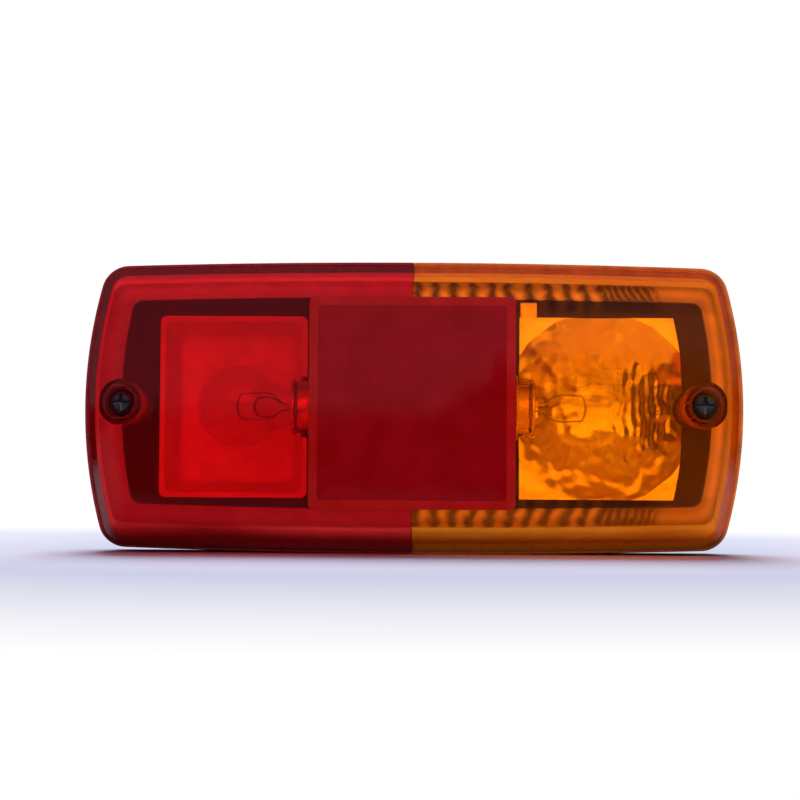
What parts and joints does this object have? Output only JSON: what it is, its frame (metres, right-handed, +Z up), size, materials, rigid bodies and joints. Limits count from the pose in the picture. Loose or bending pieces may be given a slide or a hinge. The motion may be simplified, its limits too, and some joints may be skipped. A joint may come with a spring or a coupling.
{
  "type": "trailer tail light",
  "caption": "Rectangular trailer tail light: black housing on a rubber pad, red and amber screwed-on lens with a central reflex reflector, and bayonet bulbs in spring sockets behind it.",
  "frame": {"origin": "centre of the rubber pad's mounting face", "axes": "+X to the right seen from the front (towards the amber end), +Y out of the mounting face towards the trailer, +Z up"},
  "size_m": [0.21, 0.0816, 0.093],
  "materials": {
    "red_lens": "clear red moulded acrylic, glossy",
    "amber_lens": "clear amber moulded acrylic, glossy",
    "reflex_red": "deep red prism reflector, polished front",
    "housing_black": "fine-grained black moulding",
    "carrier_grey": "plain dark grey moulding",
    "rubber_black": "matt black rubber",
    "mirror_coat": "vacuum-coated bright plastic",
    "zinc_steel": "bright zinc plate",
    "black_steel": "black oxide, satin",
    "spring_steel": "drawn wire",
    "brass": "turned brass, lightly tarnished",
    "nickel_plate": "nickel-plated brass",
    "solder": "dull solder",
    "clear_glass": "clear blown glass",
    "dark_glass": "black vitrite",
    "tungsten": "drawn wire, grey",
    "phenolic": "brown laminated board",
    "wire_blue": "thin insulation, satin",
    "wire_white": "thin insulation, satin",
    "wire_green": "thin insulation, satin",
    "wire_red": "thin insulation, satin"
  },
  "bodies": {
    "housing": {"mounting_pad": "rubber_black", "cable_grommet": "rubber_black", "lens_gasket": "rubber_black", "rear_housing": "housing_black", "mounting_bolt_left": "zinc_steel", "plain_washer_left": "zinc_steel", "lock_nut_left": "zinc_steel", "screw_insert_left": "brass", "mounting_bolt_right": "zinc_steel", "plain_washer_right": "zinc_steel", "lock_nut_right": "zinc_steel", "screw_insert_right": "brass", "bulb_carrier": "carrier_grey", "terminal_block": "carrier_grey", "earth_strap": "brass", "reflector_tail": "mirror_coat", "reflector_turn": "mirror_coat", "terminal_turn": "brass", "terminal_screw_turn": "zinc_steel", "turn_wire": "wire_green", "terminal_tail": "brass", "terminal_screw_tail": "zinc_steel", "tail_wire": "wire_blue", "terminal_stop": "brass", "terminal_screw_stop": "zinc_steel", "stop_wire": "wire_red", "terminal_earth": "brass", "terminal_screw_earth": "zinc_steel", "earth_wire": "wire_white", "socket_tail": "zinc_steel", "contact_spring_tail": "spring_steel", "socket_turn": "zinc_steel", "contact_spring_turn": "spring_steel"},
    "lens_cover": {"lens_red": "red_lens", "lens_amber": "amber_lens", "reflex_reflector": "reflex_red", "reflex_back_plate": "housing_black"},
    "left_screw_seal": {"screw_seal_left": "rubber_black"},
    "left_lens_screw": {"lens_screw_left": "black_steel"},
    "right_screw_seal": {"screw_seal_right": "rubber_black"},
    "right_lens_screw": {"lens_screw_right": "black_steel"},
    "tail_contacts": {"contact_disc_tail": "phenolic", "contact_pin_tail": "brass", "contact_pin_stop": "brass"},
    "tail_bulb": {"tail_bulb_cap": "nickel_plate", "tail_bulb_glass": "clear_glass", "tail_bulb_stem": "clear_glass", "tail_bulb_insulator": "dark_glass", "bulb_contact_tail": "solder", "bulb_contact_stop": "solder", "filament_tail": "tungsten", "filament_stop": "tungsten"},
    "turn_contacts": {"contact_disc_turn": "phenolic", "contact_pin_turn": "brass"},
    "turn_bulb": {"turn_bulb_cap": "nickel_plate", "turn_bulb_glass": "clear_glass", "turn_bulb_stem": "clear_glass", "turn_bulb_insulator": "dark_glass", "bulb_contact_turn": "solder", "filament_turn": "tungsten"}
  },
  "joints": [
    {"name": "cover_lift", "type": "slide", "parent": "housing", "child": "lens_cover", "axis": [0, -1, 0], "range_m": [0, 0.07]},
    {"name": "left_screw_travel", "type": "slide", "parent": "lens_cover", "child": "left_screw_seal", "axis": [0, -1, 0], "range_m": [0, 0.0084]},
    {"name": "left_screw_turn", "type": "hinge", "parent": "left_screw_seal", "child": "left_lens_screw", "pos_m": [-0.0895, -0.04, 0], "axis": [0, -1, 0], "range_deg": [0, 4320]},
    {"name": "right_screw_travel", "type": "slide", "parent": "lens_cover", "child": "right_screw_seal", "axis": [0, -1, 0], "range_m": [0, 0.0084]},
    {"name": "right_screw_turn", "type": "hinge", "parent": "right_screw_seal", "child": "right_lens_screw", "pos_m": [0.0895, -0.04, 0], "axis": [0, -1, 0], "range_deg": [0, 4320]},
    {"name": "tail_contact_push", "type": "slide", "parent": "housing", "child": "tail_contacts", "axis": [1, 0, 0], "range_m": [0, 0.002], "stiffness_N_per_m": 1500, "springref_m": -0.002, "deforming": ["contact_spring_tail"]},
    {"name": "tail_bulb_twist", "type": "hinge", "parent": "tail_contacts", "child": "tail_bulb", "pos_m": [-0.03, -0.027, 0], "axis": [-1, 0, 0], "range_deg": [0, 20]},
    {"name": "turn_contact_push", "type": "slide", "parent": "housing", "child": "turn_contacts", "axis": [-1, 0, 0], "range_m": [0, 0.002], "stiffness_N_per_m": 1500, "springref_m": -0.002, "deforming": ["contact_spring_turn"]},
    {"name": "turn_bulb_twist", "type": "hinge", "parent": "turn_contacts", "child": "turn_bulb", "pos_m": [0.03, -0.027, 0], "axis": [1, 0, 0], "range_deg": [0, 20]}
  ],
  "couplings": [
    {"joint": "left_screw_turn", "follows": "left_screw_travel", "rad_per_m": 8975.9},
    {"joint": "right_screw_turn", "follows": "right_screw_travel", "rad_per_m": 8975.9}
  ]
}
